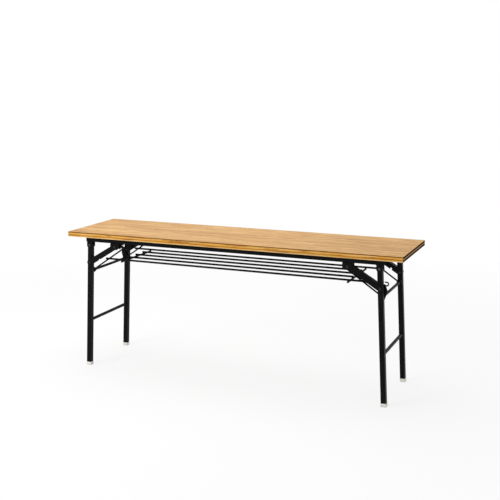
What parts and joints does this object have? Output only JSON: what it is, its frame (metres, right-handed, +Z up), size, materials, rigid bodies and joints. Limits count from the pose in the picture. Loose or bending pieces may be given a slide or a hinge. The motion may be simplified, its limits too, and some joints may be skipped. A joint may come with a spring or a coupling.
{
  "type": "folding work table",
  "caption": "Long folding table with a wood-grain top, black square-tube legs that fold flat on sliding braces, and a wire shelf under the top.",
  "frame": {"origin": "on the floor under the middle of the table", "axes": "+X along the table's length, +Y away from the viewer of the picture, +Z up"},
  "size_m": [1.8, 0.45, 0.72],
  "materials": {
    "wood_grain_top": "satin wood-grain laminate",
    "long_edge": "satin golden wood-grain band",
    "end_edge": "satin dark brown band",
    "board_core": "raw particle board",
    "backing": "matt backing sheet",
    "black_steel": "semi-gloss black paint",
    "black_rivet": "black rivet",
    "dark_fasteners": "blackened steel",
    "white_cap": "ivory plastic",
    "nylon_shoe": "black nylon"
  },
  "bodies": {
    "table_top": {"top_core": "board_core", "top_laminate": "wood_grain_top", "backing_sheet": "backing", "front_edge_band": "long_edge", "back_edge_band": "long_edge", "right_end_band": "end_edge", "left_end_band": "end_edge", "front_rail": "black_steel", "back_rail": "black_steel", "rail_screws": "dark_fasteners", "front_right_hanger": "black_steel", "back_right_hanger": "black_steel", "front_left_hanger": "black_steel", "back_left_hanger": "black_steel", "leg_pivot_bolts": "dark_fasteners", "leg_pivot_nuts": "dark_fasteners"},
    "shelf": {"front_shelf_wire": "black_steel", "back_shelf_wire": "black_steel", "inner_shelf_wires": "black_steel", "right_shelf_crosswire": "black_steel", "left_shelf_crosswire": "black_steel"},
    "right_legs": {"front_right_leg": "black_steel", "back_right_leg": "black_steel", "front_right_foot": "white_cap", "back_right_foot": "white_cap", "right_crossbar": "black_steel", "right_brace_pins": "black_rivet"},
    "right_braces": {"front_right_brace": "black_steel", "back_right_brace": "black_steel"},
    "right_carriages": {"front_right_carriage": "black_steel", "back_right_carriage": "black_steel", "right_slide_rivets": "black_rivet", "right_slide_shoes": "nylon_shoe"},
    "right_pull_rods": {"front_right_pull_rod": "black_steel", "back_right_pull_rod": "black_steel"},
    "right_release": {"right_release_shaft": "black_steel", "right_release_lever": "black_steel"},
    "left_legs": {"front_left_leg": "black_steel", "back_left_leg": "black_steel", "front_left_foot": "white_cap", "back_left_foot": "white_cap", "left_crossbar": "black_steel", "left_brace_pins": "black_rivet"},
    "left_braces": {"front_left_brace": "black_steel", "back_left_brace": "black_steel"},
    "left_carriages": {"front_left_carriage": "black_steel", "back_left_carriage": "black_steel", "left_slide_rivets": "black_rivet", "left_slide_shoes": "nylon_shoe"},
    "left_pull_rods": {"front_left_pull_rod": "black_steel", "back_left_pull_rod": "black_steel"},
    "left_release": {"left_release_shaft": "black_steel", "left_release_lever": "black_steel"}
  },
  "joints": [
    {"name": "right_leg_fold", "type": "hinge", "parent": "table_top", "child": "right_legs", "pos_m": [0.784, 0, 0.65], "axis": [0, 1, 0], "range_deg": [0, 92]},
    {"name": "right_brace_swing", "type": "hinge", "parent": "right_legs", "child": "right_braces", "pos_m": [0.78723, 0, 0.55756], "axis": [0, -1, 0], "range_deg": [0, 122.59]},
    {"name": "right_carriage_level", "type": "hinge", "parent": "right_braces", "child": "right_carriages", "pos_m": [0.63073, 0, 0.65], "axis": [0, 1, 0], "range_deg": [0, 30.59]},
    {"name": "right_rod_swing", "type": "hinge", "parent": "right_legs", "child": "right_pull_rods", "pos_m": [0.78885, 0, 0.51109], "axis": [0, -1, 0], "range_deg": [0, 126.24]},
    {"name": "right_release_pull", "type": "hinge", "parent": "right_legs", "child": "right_release", "pos_m": [0.78885, 0, 0.51109], "axis": [0, 1, 0], "range_deg": [0, 15], "stiffness_Nm_per_rad": 1.5, "springref_deg": -11.46},
    {"name": "left_leg_fold", "type": "hinge", "parent": "table_top", "child": "left_legs", "pos_m": [-0.784, 0, 0.65], "axis": [0, -1, 0], "range_deg": [0, 92]},
    {"name": "left_brace_swing", "type": "hinge", "parent": "left_legs", "child": "left_braces", "pos_m": [-0.78723, 0, 0.55756], "axis": [0, 1, 0], "range_deg": [0, 122.59]},
    {"name": "left_carriage_level", "type": "hinge", "parent": "left_braces", "child": "left_carriages", "pos_m": [-0.63073, 0, 0.65], "axis": [0, -1, 0], "range_deg": [0, 30.59]},
    {"name": "left_rod_swing", "type": "hinge", "parent": "left_legs", "child": "left_pull_rods", "pos_m": [-0.78885, 0, 0.51109], "axis": [0, 1, 0], "range_deg": [0, 126.24]},
    {"name": "left_release_pull", "type": "hinge", "parent": "left_legs", "child": "left_release", "pos_m": [-0.78885, 0, 0.51109], "axis": [0, -1, 0], "range_deg": [0, 15], "stiffness_Nm_per_rad": 1.5, "springref_deg": -11.46},
    {"name": "shelf_lift", "type": "slide", "parent": "table_top", "child": "shelf", "axis": [0, 0, 1], "range_m": [0, 0.0886]}
  ],
  "couplings": [
    {"joint": "right_brace_swing", "follows": "right_leg_fold", "ratio": 1.3323},
    {"joint": "right_carriage_level", "follows": "right_leg_fold", "ratio": 0.33228},
    {"joint": "right_rod_swing", "follows": "right_leg_fold", "ratio": 1.372},
    {"joint": "left_leg_fold", "follows": "right_leg_fold", "ratio": 1},
    {"joint": "left_brace_swing", "follows": "right_leg_fold", "ratio": 1.3323},
    {"joint": "left_carriage_level", "follows": "right_leg_fold", "ratio": 0.33228},
    {"joint": "left_rod_swing", "follows": "right_leg_fold", "ratio": 1.372},
    {"joint": "shelf_lift", "follows": "right_leg_fold", "m_per_rad": 0.055116}
  ]
}
